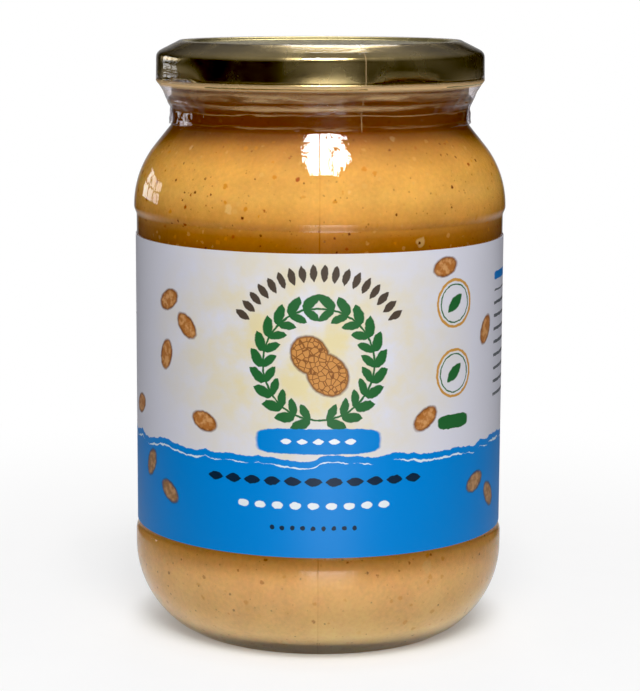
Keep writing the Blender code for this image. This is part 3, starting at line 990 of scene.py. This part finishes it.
def build_light():
    """A key softbox high in front, a panel behind the jar for the lid, a front fill and a window."""
    middle = (0, 0, 0.09)
    # The key light is a tall softbox that narrows downwards, with a bar upright across it.
    key, lit_spot = Vector((0.045, -0.50, 0.973)), Vector((0, 0, 0.107))
    upwards = (lit_spot - key).to_track_quat("-Z", "Y") @ Vector((0, 1, 0))
    for start, end, height in KEY_ROWS:
        for left, right in ((start, KEY_BAR[0]), (KEY_BAR[1], end)):
            move = upwards * height + Vector(((left + right) / 2, 0, 0))
            width = right - left
            power = KEY_POWER * width * KEY_ROW_HEIGHT
            add_softbox("key_softbox", key + move, lit_spot + move, (width, KEY_ROW_HEIGHT), power)
    add_softbox("overhead_panel", (0.05, 0.64, 0.76), (0, 0, 0.12), (0.21, 0.36), 0.9)
    add_softbox("front_fill", (0.05, -1.3, 0.45), middle, (0.7, 0.7), 1.6, in_reflections=False)
    # Behind on the left stands a window of six panes.
    for column in (-1, 0, 1):
        for pane in (-0.5, 0.5):
            place = Vector((-0.90 + 0.11 * column, 0.76 + 0.13 * column, 0.22 + 0.14 * pane))
            add_softbox("window_pane", place, middle, (0.135, 0.12), 0.15)


def build_world():
    """A white studio to the eye, and in the reflections a dim room with a few pale surfaces."""
    world = bpy.data.worlds.new("studio")
    bpy.context.scene.world = world
    world.use_nodes = True
    tree = world.node_tree
    tree.nodes.clear()
    output = tree.nodes.new("ShaderNodeOutputWorld")
    direction = add(tree, "TexCoord", out="Generated")
    _, back, up = add(tree, "SeparateXYZ", {0: direction}, out="all")
    horizon = add(tree, "MapRange", {"Value": back, "From Min": 0.93, "From Max": 1.0, "To Max": 0.36})
    overhead = {"Value": up, "From Min": 0.3, "From Max": 0.9, "To Min": 0.015, "To Max": 0.36}
    ceiling = add(tree, "MapRange", overhead)
    # Behind the jar the lit floor reaches up into the lower edges of the glass.
    low = add(tree, "MapRange", {"Value": up, "From Min": -0.12, "From Max": -0.35})
    behind = add(tree, "MapRange", {"Value": back, "From Min": 0.2, "From Max": 0.9, "To Max": 0.6})
    lobes = [horizon, ceiling, all_of(tree, [low, behind], "MULTIPLY")]
    # Pale cards round the room: direction, how sharply each one ends, and strength
    for towards, sharpness, most in (
        ((0.06, -0.995, -0.08), 14, 0.3),
        ((0.998, -0.05, -0.05), 8, 0.09),
        ((0.6, -0.8, 0.0), 3, 0.05),
    ):
        cosine = add(tree, "VectorMath", {0: direction, 1: towards}, out="Value", operation="DOT_PRODUCT")
        facing = add(tree, "Math", {0: cosine, 1: 0.0}, operation="MAXIMUM")
        bell = add(tree, "Math", {0: facing, 1: sharpness}, operation="POWER")
        lobes.append(add(tree, "Math", {0: bell, 1: most}, operation="MULTIPLY"))
    strength = all_of(tree, lobes, "ADD")
    rays = add(tree, "LightPath", out="all")
    seen = add(tree, "Background", {"Color": linear("ffffff"), "Strength": 1.0})
    ambient = add(tree, "Background", {"Color": linear("f4f6ff"), "Strength": 0.06})
    studio = add(tree, "Background", {"Color": linear("ffffff"), "Strength": strength})
    soft = add(tree, "MixShader", {0: rays["Is Diffuse Ray"], 1: seen, 2: ambient})
    surface = add(tree, "MixShader", {0: rays["Is Glossy Ray"], 1: soft, 2: studio})
    tree.links.new(surface, output.inputs["Surface"])


def build_camera():
    """The camera stands half a metre in front, as fitted to the photograph, and looks a little down."""
    lens = bpy.data.cameras.new("camera")
    camera = bpy.data.objects.new("camera", lens)
    bpy.context.scene.collection.objects.link(camera)
    lens.lens = 120.5
    camera.location = (-0.0153, -0.5153, 0.1474)
    # Standing to the left with the lens shifted right, it gives the jar its slight lean in the picture.
    lens.shift_x = 0.1
    camera.rotation_euler = (math.radians(90 - 9.307), 0, 0)
    bpy.context.scene.camera = camera
    display = bpy.context.scene.view_settings
    display.view_transform = "Standard"
    # The picture's blacks are deep, as a product photograph's are.
    display.use_curve_mapping = True
    display.curve_mapping.black_level = (0.015, 0.015, 0.015)
    display.curve_mapping.update()


build_glass()
build_filling()
build_label()
build_lid()
build_shrink_band()
build_floor()
build_light()
build_world()
build_camera()
